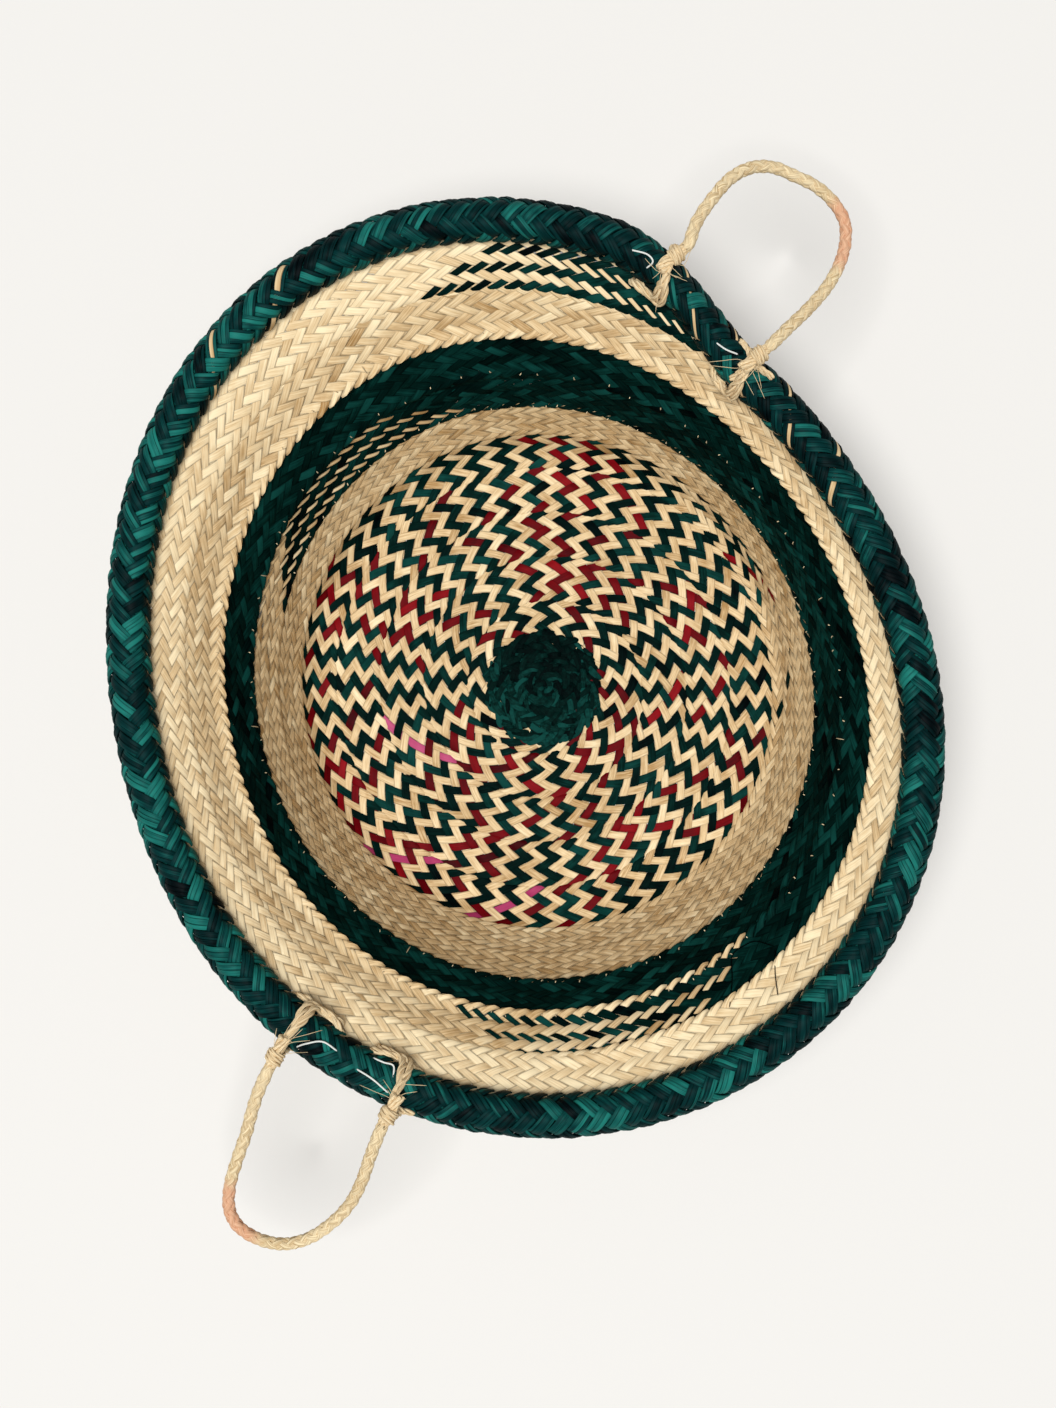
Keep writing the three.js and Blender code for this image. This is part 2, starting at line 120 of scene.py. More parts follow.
def template(rings, sides):
    """A closed tube, rings x sides, whose vertices are placed later. UV runs along and round it."""
    bm = bmesh.new()
    bmesh.ops.create_grid(bm, x_segments=rings - 1, y_segments=sides, size=1)
    uv = bm.loops.layers.uv.new("UVMap")
    order = bm.verts.layers.int.new("order")
    for face in bm.faces:
        for loop in face.loops:
            loop[uv].uv = ((loop.vert.co.x + 1) / 2, (loop.vert.co.y + 1) / 2)
    for vert in bm.verts:
        i = round((vert.co.x + 1) / 2 * (rings - 1))
        j = round((vert.co.y + 1) / 2 * sides) % sides
        turn = 2 * math.pi * j / sides
        vert[order] = i * sides + j
        vert.co = (i, math.cos(turn), math.sin(turn))
    bmesh.ops.remove_doubles(bm, verts=bm.verts, dist=1e-4)
    bmesh.ops.holes_fill(bm, edges=[e for e in bm.edges if e.is_boundary])
    bmesh.ops.recalc_face_normals(bm, faces=bm.faces)
    mesh = bpy.data.meshes.new("template")
    bm.to_mesh(mesh)
    bm.free()
    return mesh


def lay_tubes(name, pattern, tubes, tones, body, material, replaced=()):
    """One piece of many tubes: each is an array of rings x sides x 3 in place of the template's.
    tones, 0 to 1, say how light each tube's leaf or fibre is."""
    bm = bmesh.new()
    for _ in tubes:
        bm.from_mesh(pattern)
    mesh = bpy.data.meshes.new(name)
    bm.to_mesh(mesh)
    bm.free()
    order = np.zeros(len(pattern.vertices), int)
    pattern.attributes["order"].data.foreach_get("value", order)
    placed = np.concatenate([np.asarray(t).reshape(-1, 3)[order] for t in tubes])
    mesh.vertices.foreach_set("co", placed.ravel())
    tone = mesh.attributes.new("tone", "FLOAT", "POINT")
    tone.data.foreach_set("value", np.repeat(np.asarray(tones, np.float32), len(order)))
    mesh.attributes.remove(mesh.attributes["order"])
    bm = bmesh.new()
    bm.from_mesh(mesh)
    bmesh.ops.recalc_face_normals(bm, faces=bm.faces)
    bm.to_mesh(mesh)
    bm.free()
    mesh.shade_smooth()
    mesh.set_sharp_from_angle(angle=math.radians(50))
    mesh.materials.append(material)
    piece = bpy.data.objects.new(name, mesh)
    bpy.context.scene.collection.objects.link(piece)
    if replaced:
        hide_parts(*replaced)
    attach(piece, body)
    return piece


# Twisted palm fibre: dull and pale, with fibres of about 0.3 mm along each strand, which give the
# eye a soft, hairy streak. A strand is 6 to 8 mm round. It can be stained between two shares of
# its length, stain_from and stain_to.
FIBRES_ROUND = 26.0
STREAKS_ALONG = 9.0
STAIN = "#D98C70"
STAIN_DEPTH = 0.55
STAIN_ENDS = 0.05  # share of the length over which a stain fades out


def fibre_material(name, dark, light, stain_from=0.0, stain_to=0.0):
    material = bpy.data.materials.new(name)
    material.use_nodes = True
    tree = material.node_tree
    tree.nodes.clear()
    place_on = node(tree, "ShaderNodeUVMap", uv_map="UVMap")
    split = node(tree, "ShaderNodeSeparateXYZ", {"Vector": place_on.outputs["UV"]})
    tone = node(tree, "ShaderNodeAttribute", attribute_name="tone")
    round_it, down_it = split.outputs["Y"], split.outputs["X"]
    across = node(tree, "ShaderNodeMath", {0: round_it, 1: FIBRES_ROUND}, operation="MULTIPLY")
    along = node(tree, "ShaderNodeMath", {0: down_it, 1: STREAKS_ALONG}, operation="MULTIPLY")
    both = node(
        tree,
        "ShaderNodeCombineXYZ",
        {"X": along.outputs[0], "Y": across.outputs[0], "Z": tone.outputs["Fac"]},
    )
    grain = node(
        tree, "ShaderNodeTexNoise", {"Vector": both.outputs[0], "Scale": 1.0, "Detail": 4.0}
    )
    ramp = node(tree, "ShaderNodeValToRGB", {"Fac": grain.outputs["Fac"]})
    ramp.color_ramp.elements[0].position = 0.3
    ramp.color_ramp.elements[0].color = linear(dark)
    ramp.color_ramp.elements[1].position = 0.62
    ramp.color_ramp.elements[1].color = linear(light)
    colour = ramp.outputs["Color"]
    if stain_to > stain_from:
        rise = {"Value": down_it, "From Min": stain_from, "From Max": stain_from + STAIN_ENDS}
        fall = {"Value": down_it, "From Min": stain_to + STAIN_ENDS, "From Max": stain_to}
        patch = node(tree, "ShaderNodeMapRange", rise, interpolation_type="SMOOTHSTEP")
        fade = node(tree, "ShaderNodeMapRange", fall, interpolation_type="SMOOTHSTEP")
        ends = {0: patch.outputs[0], 1: fade.outputs[0]}
        amount = node(tree, "ShaderNodeMath", ends, operation="MULTIPLY")
        depth = {0: amount.outputs[0], 1: STAIN_DEPTH}
        weak = node(tree, "ShaderNodeMath", depth, operation="MULTIPLY")
        stained = {"Factor": weak.outputs[0], "A": colour, "B": linear(STAIN)}
        mixed = node(tree, "ShaderNodeMix", stained, data_type="RGBA")
        colour = mixed.outputs["Result"]
    rough = node(
        tree,
        "ShaderNodeBump",
        {"Height": grain.outputs["Fac"], "Strength": 0.5, "Distance": 0.0004},
    )
    surface = node(
        tree,
        "ShaderNodeBsdfPrincipled",
        {"Base Color": colour, "Roughness": 0.75, "IOR": 1.45, "Normal": rough.outputs["Normal"]},
    )
    surface.inputs["Specular IOR Level"].default_value = 0.2
    out = node(tree, "ShaderNodeOutputMaterial")
    tree.links.new(surface.outputs["BSDF"], out.inputs["Surface"])
    return material


def plaited_rope(name, path, material, body, replaced):
    """Eight flat strands round the path, four each way, that pass over and under each other."""
    strand_out, strand_wave = 0.00215, 0.00042  # from the rope's middle, and up and down from there
    half_wide, half_thick = 0.0016, 0.00085
    strand_slope = math.atan2(2 * math.pi * 0.0022, ROPE_LAY)  # to the rope's length
    sides = 8
    tangent, side, other = frames_along(path)
    length = np.linalg.norm(np.diff(path, axis=0), axis=1).sum()
    along = np.linspace(0, length, len(path))
    drawn_in = np.clip(np.minimum(along, length - along) / 0.002, 0.35, 1)  # the last 2 mm
    tubes = []
    for way in (1, -1):
        for k in range(4):
            turn = way * 2 * math.pi * along / ROPE_LAY + math.pi * k / 2
            wave = np.cos(8 * math.pi * along / ROPE_LAY + (0 if way > 0 else math.pi))
            radius = strand_out + strand_wave * wave
            out = np.cos(turn)[:, None] * side + np.sin(turn)[:, None] * other
            round_it = -np.sin(turn)[:, None] * side + np.cos(turn)[:, None] * other
            slope = strand_slope * way
            wide = round_it * math.cos(slope) - tangent * math.sin(slope)
            centre = path + out * radius[:, None]
            rings = []
            for j in range(sides):
                a = 2 * math.pi * j / sides
                offset = wide * (half_wide * math.cos(a) * drawn_in)[:, None]
                offset = offset + out * (half_thick * math.sin(a) * drawn_in)[:, None]
                rings.append(centre + offset)
            tubes.append(np.stack(rings, axis=1))
    tones = chance.random(len(tubes))
    pattern = template(len(path), sides)
    return lay_tubes(name, pattern, tubes, tones, body, material, replaced)


# Each loop's points are shares of the span between its two hinges and millimetres out from it,
# and its stain lies between two shares of its length.
handle_shapes = {
    "handle_a": {
        "hinges": [(0.07884, 0.2178, 0.13334), (0.12023, 0.16998, 0.12515)],
        "loop": [(0, 0), (-0.09, 12), (-0.16, 30), (-0.19, 47), (-0.145, 61), (-0.04, 71)]
        + [(0.12, 78), (0.28, 84), (0.46, 86.5), (0.64, 84.5), (0.77, 77), (0.87, 66)]
        + [(0.945, 51), (0.98, 33), (0.99, 15), (1, 0)],
        "stain": (0.5, 0.68),
    },
    "handle_b": {
        "hinges": [(-0.1291, -0.19035, 0.13109), (-0.07304, -0.21909, 0.13058)],
        "loop": [(0, 0), (0, 14), (0.02, 28), (0.05, 42), (0.07, 59), (0.11, 79), (0.19, 93)]
        + [(0.31, 100), (0.5, 101.5), (0.7, 97), (0.86, 86.5), (0.975, 71), (1.045, 53)]
        + [(1.05, 36), (1.02, 18), (1, 0)],
        "stain": (0.3, 0.47),
    },
}
for handle, shape in handle_shapes.items():
    first, second = (np.array(p) for p in shape["hinges"])
    axis = (second - first) / np.linalg.norm(second - first)
    span = np.linalg.norm(second - first)
    # Square to the line of the hinges: level points away from the basket and down below it, and
    # the stiff loop droops between the two.
    outward = np.cross(second - first, [0, 0, 1])
    outward /= np.linalg.norm(outward)
    if np.dot(outward[:2], first[:2]) < 0:
        outward = -outward
    down = np.cross(axis, outward)
    down /= np.linalg.norm(down)
    level = np.cross(down, axis)
    level /= np.linalg.norm(level)
    if down[2] > 0:
        down = -down
    fall = level * math.cos(ROPE_DROOP) + down * math.sin(ROPE_DROOP)
    route = [first + axis * x * span + fall * y * 0.001 for x, y in shape["loop"]]
    path = smooth_path(route, 190)
    drawn = smooth_path([first - level * ROPE_TUCK, *route, second - level * ROPE_TUCK], 196)
    material = fibre_material("palm fibre rope, " + handle, "#AE8B58", "#F8E6BE", *shape["stain"])
    rope = plaited_rope(handle + "_rope_plait", drawn, material, handle, [handle + "_rope"])
    shape["level"] = level

# The plait's way: it starts as a narrow braid wound tight in the middle, widens to 25 mm and goes
# on in a spiral, flat over the base, round a soft corner and up a wall that leans out more and
# more. u is the distance from the middle, out and up along the basket's skin.
PITCH = 0.025  # width of a turn that shows
COIL_PITCH = 0.0075  # the same, of the narrow braid
FULL_WIDTH_AT = -1410  # degrees along the spiral, as are all the angles of turns
BASE_FLAT = 0.123
CORNER_RADIUS = 0.016
LOW_LEAN = 23.5  # degrees from upright above the corner
MID_LEAN_MORE, MID_LEAN_FROM, MID_LEAN_OVER = 18, 0.3, 0.55  # degrees, and shares of the wall
TOP_LEAN_MORE, TOP_LEAN_FROM, TOP_LEAN_OVER = 22.5, 0.74, 0.4
DIVIDE_AT = 60  # where one turn's node ends and the next begins, as in the CAD
TAIL_FROM, TAIL_OVER = 370, 26  # where the tail narrows away, so the top edge steps down a turn
BASE_OVAL, RIM_OVAL_MORE, OVAL_TURN = 0.007, 0.059, 23  # the plan is a soft oval
RIM_THIRD, THIRD_TURN = 0.0146, 16  # and towards the rim a little three-cornered


def inner_edge(turn):
    """Where a turn's inner edge lies."""
    beyond = (np.asarray(turn, float) - FULL_WIDTH_AT) / 360
    return 4 * COIL_PITCH + np.where(beyond > 0, PITCH, COIL_PITCH) * beyond


TOP_OF_WALL = float(inner_edge(DIVIDE_AT + 1800))
CORNER_BEND = 90 - LOW_LEAN
CORNER_ARC = CORNER_RADIUS * math.radians(CORNER_BEND)


def smooth(t):
    """A soft step from 0 to 1."""
    t = np.clip(t, 0, 1)
    return t * t * (3 - 2 * t)


def lean_at(u):
    """How far the skin leans from upright, in radians."""
    wall = (u - BASE_FLAT - CORNER_ARC) / (TOP_OF_WALL - BASE_FLAT - CORNER_ARC)
    upper = LOW_LEAN + MID_LEAN_MORE * smooth((wall - MID_LEAN_FROM) / MID_LEAN_OVER)
    upper = upper + TOP_LEAN_MORE * smooth((wall - TOP_LEAN_FROM) / TOP_LEAN_OVER)
    corner = 90 - CORNER_BEND * (u - BASE_FLAT) / CORNER_ARC
    in_corner = u < BASE_FLAT + CORNER_ARC
    return np.radians(np.where(u < BASE_FLAT, 90, np.where(in_corner, corner, upper)))


SKIN_STEP = 0.0005
skin_u = np.arange(0, TOP_OF_WALL + 3 * PITCH, SKIN_STEP)
lean_mid = lean_at(skin_u[:-1] + SKIN_STEP / 2)
skin_r = np.concatenate([[0], np.cumsum(np.sin(lean_mid) * SKIN_STEP)])
skin_z = np.concatenate([[0], np.cumsum(np.cos(lean_mid) * SKIN_STEP)])


def place(u, n, angle):
    """A point u along the skin and n off its outer face towards the inside."""
    u = np.maximum(u, 0)
    lean = lean_at(u)
    r = np.interp(u, skin_u, skin_r) - n * np.cos(lean)
    z = np.interp(u, skin_u, skin_z) + n * np.sin(lean)
    up = np.clip((u - BASE_FLAT) / (TOP_OF_WALL - BASE_FLAT), 0, 1.1)
    low = np.minimum(u / BASE_FLAT, 1) * BASE_OVAL
    oval = (
        1
        + (low + RIM_OVAL_MORE * up) * np.cos(2 * np.radians(angle + OVAL_TURN))
        + RIM_THIRD * up * np.cos(3 * np.radians(angle + THIRD_TURN))
    )
    way = np.radians(angle)
    return np.stack([r * oval * np.sin(way), r * oval * np.cos(way), z], axis=-1)


def top_edge(angle):
    """Where the plait ends at the mouth."""
    tail_end = TAIL_FROM + TAIL_OVER - 360
    turn = tail_end + np.mod(angle - tail_end, 360)
    return inner_edge(turn + 1800) - PITCH * smooth((turn - TAIL_FROM) / TAIL_OVER)


# Split palm leaf, dried and smooth: a faint sheen, an own tone for each strand, grain of about
# 0.6 mm by 12 mm that follows it, and painted shade, halving the colour beyond a ragged line near
# the sides of the upper face, for the shadow in the gaps between strands and under them. A strand
# is about 4 mm wide and 60 mm long, and its upper face takes the first third of UV Y.
GRAIN_ALONG, GRAIN_ROUND, GRAIN_SCALE = 14.0, 60.0, 0.35  # 5 grains along and 7 across the face
BLOTCH_DEPTH = 0.7
STRAND_MIDDLE = 1 / 6  # UV Y of the middle of its upper face


def leaf_material(name, dark, middle, light, roughness, shine, grain_depth):
    material = bpy.data.materials.new(name)
    material.use_nodes = True
    tree = material.node_tree
    tree.nodes.clear()
    place_on = node(tree, "ShaderNodeUVMap", uv_map="UVMap")
    split = node(tree, "ShaderNodeSeparateXYZ", {"Vector": place_on.outputs["UV"]})
    round_it, down_it = split.outputs["Y"], split.outputs["X"]
    tone = node(tree, "ShaderNodeAttribute", attribute_name="tone")
    along = node(tree, "ShaderNodeMath", {0: down_it, 1: GRAIN_ALONG}, operation="MULTIPLY")
    across = node(tree, "ShaderNodeMath", {0: round_it, 1: GRAIN_ROUND}, operation="MULTIPLY")
    own = node(tree, "ShaderNodeMath", {0: tone.outputs["Fac"], 1: 917.0}, operation="MULTIPLY")
    both = node(
        tree,
        "ShaderNodeCombineXYZ",
        {"X": along.outputs[0], "Y": across.outputs[0], "Z": own.outputs[0]},
    )
    grain = node(
        tree,
        "ShaderNodeTexNoise",
        {"Vector": both.outputs[0], "Scale": GRAIN_SCALE, "Detail": 5.0},
    )
    blotch_at = node(tree, "ShaderNodeCombineXYZ", {"X": along.outputs[0], "Y": own.outputs[0]})
    blotch = node(
        tree, "ShaderNodeTexNoise", {"Vector": blotch_at.outputs[0], "Scale": 0.5, "Detail": 2.0}
    )
    fine = node(tree, "ShaderNodeMath", {0: grain.outputs["Fac"], 1: -0.5}, operation="ADD")
    fine = node(tree, "ShaderNodeMath", {0: fine.outputs[0], 1: grain_depth}, operation="MULTIPLY")
    broad = node(tree, "ShaderNodeMath", {0: blotch.outputs["Fac"], 1: -0.5}, operation="ADD")
    broad = node(
        tree, "ShaderNodeMath", {0: broad.outputs[0], 1: BLOTCH_DEPTH}, operation="MULTIPLY"
    )
    total = node(tree, "ShaderNodeMath", {0: fine.outputs[0], 1: broad.outputs[0]}, operation="ADD")
    total = node(
        tree, "ShaderNodeMath", {0: total.outputs[0], 1: tone.outputs["Fac"]}, operation="ADD"
    )
    ramp = node(tree, "ShaderNodeValToRGB", {"Fac": total.outputs[0]})
    ramp.color_ramp.elements[0].position = 0.0
    ramp.color_ramp.elements[0].color = linear(dark)
    ramp.color_ramp.elements[1].position = 1.0
    ramp.color_ramp.elements[1].color = linear(light)
    ramp.color_ramp.elements.new(0.5).color = linear(middle)
    # Painted shade: past a ragged line near the sides of the upper face the colour is halved, for
    # the shadow in the gaps between strands and under them.
    off_middle = node(tree, "ShaderNodeMath", {0: round_it, 1: -STRAND_MIDDLE}, operation="ADD")
    off_middle = node(tree, "ShaderNodeMath", {0: off_middle.outputs[0]}, operation="ABSOLUTE")
    ragged = node(
        tree,
        "ShaderNodeMath",
        {0: blotch.outputs["Fac"], 1: 0.14, 2: off_middle.outputs[0]},
        operation="MULTIPLY_ADD",
    )
    edge = node(
        tree,
        "ShaderNodeMapRange",
        {
            "Value": ragged.outputs[0],
            "From Min": 0.19,
            "From Max": 0.25,
            "To Min": 1.0,
            "To Max": 0.5,
        },
    )
    gap_shaded = node(
        tree,
        "ShaderNodeMix",
        {"Factor": 1.0, "A": ramp.outputs["Color"], "B": edge.outputs["Result"]},
        data_type="RGBA",
        blend_type="MULTIPLY",
    )
    relief = node(
        tree,
        "ShaderNodeBump",
        {"Height": grain.outputs["Fac"], "Strength": 0.35, "Distance": 0.0002},
    )
    surface = node(
        tree,
        "ShaderNodeBsdfPrincipled",
        {
            "Base Color": gap_shaded.outputs["Result"],
            "Roughness": roughness,
            "IOR": 1.45,
            "Normal": relief.outputs["Normal"],
        },
    )
    surface.inputs["Specular IOR Level"].default_value = shine
    out = node(tree, "ShaderNodeOutputMaterial")
    tree.links.new(surface.outputs["BSDF"], out.inputs["Surface"])
    return material


# The undyed leaf is straw coloured with a clear grain. Dye hides some of the grain, most of all
# the pink, and the dark green is the dullest.
natural_leaf = leaf_material(
    "palm leaf, undyed", "#AA8452", "#DFC294", "#FBE7BE", roughness=0.55, shine=0.1, grain_depth=1.3
)
green_leaf = leaf_material(
    "palm leaf, dyed green",
    "#000405",
    "#021D19",
    "#0E423C",
    roughness=0.6,
    shine=0.02,
    grain_depth=0.8,
)
crimson_leaf = leaf_material(
    "palm leaf, dyed crimson",
    "#3A0005",
    "#6A040C",
    "#901018",
    roughness=0.55,
    shine=0.05,
    grain_depth=0.6,
)
pink_leaf = leaf_material(
    "palm leaf, dyed pink",
    "#8A2450",
    "#AC3864",
    "#C45880",
    roughness=0.55,
    shine=0.12,
    grain_depth=0.5,
)
dyes = {
    "palm_natural": natural_leaf,
    "palm_green": green_leaf,
    "palm_crimson": crimson_leaf,
    "palm_pink": pink_leaf,
}

# The plait: 1,828 strands of split leaf, about half of them each way, folded back at both edges
# and woven over two and under two, so that the floats stand in rows along it. Its inner edge is
# sewn down as a raised ridge over the turn before.
SPACING = 0.0085  # from a strand to the next one of its way, along the plait
LAP = 0.004  # how far a turn lies over the one before
PLAIT_MIDDLE = 0.0008  # where the strands' middle lies off the plait's outer face
HALF_THICK = 0.00017  # half a strand's thickness
FLOAT_RISE = 0.00062  # how far a strand rises and dips over its neighbours
FLOAT_SHIFT = 0.075  # crossings by which the floats lie nearer the sewn edge
FOLD_FADE = 0.9  # crossings over which a strand's end comes parallel to the edge it folds round
FIRST_TURN, LAST_TURN = DIVIDE_AT - 1800, 1827
TURN_STEP = 2.0
RINGS = 40  # along a strand
turns = np.arange(-1760.0, 1850.0, TURN_STEP)
half_turn_width = 0.5 * np.minimum(PITCH, inner_edge(turns + 360) - inner_edge(turns))
middle_r = np.interp(inner_edge(turns) + half_turn_width, skin_u, skin_r)
steps = np.radians(TURN_STEP) * middle_r / SPACING
strand_at = np.concatenate([[0], np.cumsum(0.5 * (steps[1:] + steps[:-1]))])


def plait_width(turn):
    """Width of the plait at an angle of the spiral."""
    outer = inner_edge(np.asarray(turn, float) + 360)
    at_mouth = np.minimum(outer, top_edge(np.mod(turn, 360)))
    return np.where(np.asarray(turn) > 1440, at_mouth, outer) - inner_edge(turn)


def strand_rings(way, index, last, wide, row, bold):
    """Six-sided rings of one strand; way is 1 for strands that lean clockwise and -1 for the rest.
    row is the width of one crossing and bold how far the lapped end stands up, from 0 to 1."""
    first = -LAP / row + random.uniform(-0.2, 0.2) * (1 - bold)
    first = first + (0 if way > 0 else 0.1 + 0.5 * bold)
    q = np.linspace(first, last, RINGS)[:, None]
    t = np.array([-1, 0, 1])[None, :]
    offset = t * wide
    fade = np.clip(np.minimum(q - first, last - q) / FOLD_FADE, 0, 1)
    rows = q - way * offset * fade
    # Seen from inside, the folds on the lapped edge are round scallops.
    if way > 0:
        rows = rows + (0.1 + 0.8 * bold) * t * t * np.clip((first + 1.2 - q) / 1.2, 0, 1)
    # The strand goes over two and under two, its middle is crowned, and the lap lifts it.
    beat = np.cos(math.pi / 2 * (q + 0.5 + FLOAT_SHIFT))
    beat = way * np.sign(beat) * np.abs(beat) ** 0.6
    ridge = smooth((0.0045 - rows * row) / LAP)
    height = PLAIT_MIDDLE + (0.0003 + 0.0017 * bold) * ridge
    height = height + FLOAT_RISE * beat + 0.0002 * (1 - t * t)
    if way > 0:
        bulge = np.clip(1 - ((q + 0.45) / 0.95) ** 2, 0, 1)
        height = height + 0.0012 * bold * bulge * (1 - 1.1 * t * t)
    # The folded end tucks down again, and no strand lies quite level or straight.
    height = height - (0.0004 + 0.0008 * bold) * smooth((first + 0.5 - q) / 0.5)
    tilt = random.uniform(-0.00008, 0.00008)
    height = height + tilt * t + 0.00003 * np.sin(q * 2.1 + index)
    all_rows = np.concatenate([rows, rows[:, ::-1]], axis=1)
    all_n = np.concatenate([height + HALF_THICK, height[:, ::-1] - HALF_THICK], axis=1)
    all_t = np.concatenate([offset, offset[:, ::-1]], axis=1)
    turn = np.interp(index + all_t + way * all_rows / 2, strand_at, turns)
    u = inner_edge(turn) + row * all_rows
    # The rim braid presses the plait flatter.
    under_rim = smooth((u - top_edge(np.mod(turn, 360)) + 0.0105) / 0.003)
    return place(u, all_n - 0.5 * under_rim * (all_n - PLAIT_MIDDLE), turn)


def dye_of(way, index, turn):
    """The colour of a strand, which changes where new strands were worked in."""
    dyed = index % 2 == 1
    # The patterned part runs out strand by strand at the edge of the base.
    if turn < random.uniform(20, 95):
        if not dyed:
            return "palm_natural"
        pick = random.random()
        return "palm_pink" if pick < 0.014 else "palm_crimson" if pick < 0.27 else "palm_green"
    if way > 0:
        green = 652 < turn < 1226 or turn > 1790
    else:
        green = 700 < turn < 1271
    return "palm_green" if green else "palm_natural"


def row_at(turn):
    """Width of one crossing: broad on the patterned base, close where stripes run into a turn."""
    if turn < 60:
        return 0.0028
    return 0.002 if 630 < turn < 710 or turn > 1770 else 0.0024


def half_width_at(way, index, turn):
    """Half a strand's width, in spacings. Where one dye runs into another the strands of one way
    are broad and those of the other are thin stripes between them."""
    if 648 < turn < 702:
        return 0.66 if way > 0 else 0.26
    if turn > 1790:
        share = float(smooth((turn - 1797) / 22))
        return 0.42 + 0.26 * share if way > 0 else 0.54 - 0.32 * share
    if 1226 < turn < 1271:
        share = float(smooth((turn - 1230) / 40))
        return 0.36 + 0.28 * share if way > 0 else 0.6 - 0.34 * share
    if turn < 60:
        return 0.478 if index % 2 == 0 else 0.512
    return 0.5


def bold_at(turn):
    """How far the lapped edge stands up: a scalloped ridge between the natural and green turns."""
    if 1215 < turn < 1510:
        return 1.0
    if 1510 <= turn < 1615:
        return 0.8
    return 0.5 if 800 < turn < 1180 else 0.12


plait_nodes = [f"base_turn_{i}" for i in range(1, 5)]
plait_nodes += ["corner_turn"] + [f"wall_turn_{i}" for i in range(1, 6)]
natural_tones = [0.48] * 4 + [0.44] * 4 + [0.53, 0.76]  # each turn's tone of undyed leaf: the corner and lower wall turns darkest, the top turn lightest
strands = {}
for way in (1, -1):
    for index in range(0, int(strand_at[-1]) + 4):
        start = float(np.interp(index, strand_at, turns))
        row = row_at(start)
        samples = np.linspace(0, PITCH / row, 40)
        at = np.interp(index + way * samples / 2, strand_at, turns)
        fits = samples * row <= plait_width(at)
        if at[0] < FIRST_TURN or at[0] > LAST_TURN or not fits[0]:
            continue
        last = samples[np.argmin(fits) - 1] if not fits.all() else samples[-1]
        if last < 0.6:
            continue
        turn = float(np.interp(index + way * 2, strand_at, turns))
        colour = dye_of(way, index, turn)
        wide = half_width_at(way, index, turn) * 0.94
        which = min(max(int((turn - FIRST_TURN) // 360), 0), 9)
        aside = random.uniform(-0.03, 0.03)
        rings = strand_rings(way, index + aside, last, wide, row, bold_at(turn))
        strands.setdefault((which, colour), []).append(rings)
ribbon = template(RINGS, 6)
done = set()
for (which, colour), rings in sorted(strands.items()):
    typical, spread = (natural_tones[which], 0.13) if colour == "palm_natural" else (0.5, 0.2)
    tones = np.clip(chance.normal(typical, spread, len(rings)), 0, 1)
    name = plait_nodes[which] + "_" + colour.split("_")[1]
    replaced = [] if which in done else [plait_nodes[which]]
    done.add(which)
    lay_tubes(name, ribbon, rings, tones, "body", dyes[colour], replaced)

# The rim: a heavy braid of broad green leaf over a core of loose leaf, which straddles the plait's
# edge. It has 142 strands each way, and each is three strips of leaf that lie side by side. A few
# strips were left undyed.
RIM_ALONG, RIM_ACROSS = 0.0102, 0.012  # half the braid's size along the wall and across it
RIM_RISE = 0.0035  # the braid's middle above the plait's edge
RIM_ROWS = 12  # crossings from one lip of the braid round to the other
RIM_SPACING = 0.0094
RIM_RINGS = 42  # along a strip
RIM_HALF_THICK = 0.0003  # half a strip's thickness
RIM_LIFT = 0.001  # how far a strand rises and dips over its neighbours
LIP = math.asin(0.0013 / RIM_ACROSS)  # where the braid stops, either side of the plait's edge
# The rim's leaf is broader, and its green is brighter and a little bluer than the plait's.
rim_material = leaf_material(
    "palm leaf, rim braid",
    "#00070A",
    "#033030",
    "#1E766C",
    roughness=0.55,
    shine=0.06,
    grain_depth=0.9,
)
angles = np.arange(0, 361, 2.0)


def rim_point(angle, a, b):
    """a along the wall from its top edge, b across it from its middle towards the inside."""
    top = top_edge(angle)
    lean = lean_at(top)
    edge = place(top, PLAIT_MIDDLE, angle)
    out = a * np.sin(lean) - b * np.cos(lean)
    up = a * np.cos(lean) + b * np.sin(lean)
    way = np.radians(angle)
    return edge + np.stack([out * np.sin(way), out * np.cos(way), up], axis=-1)


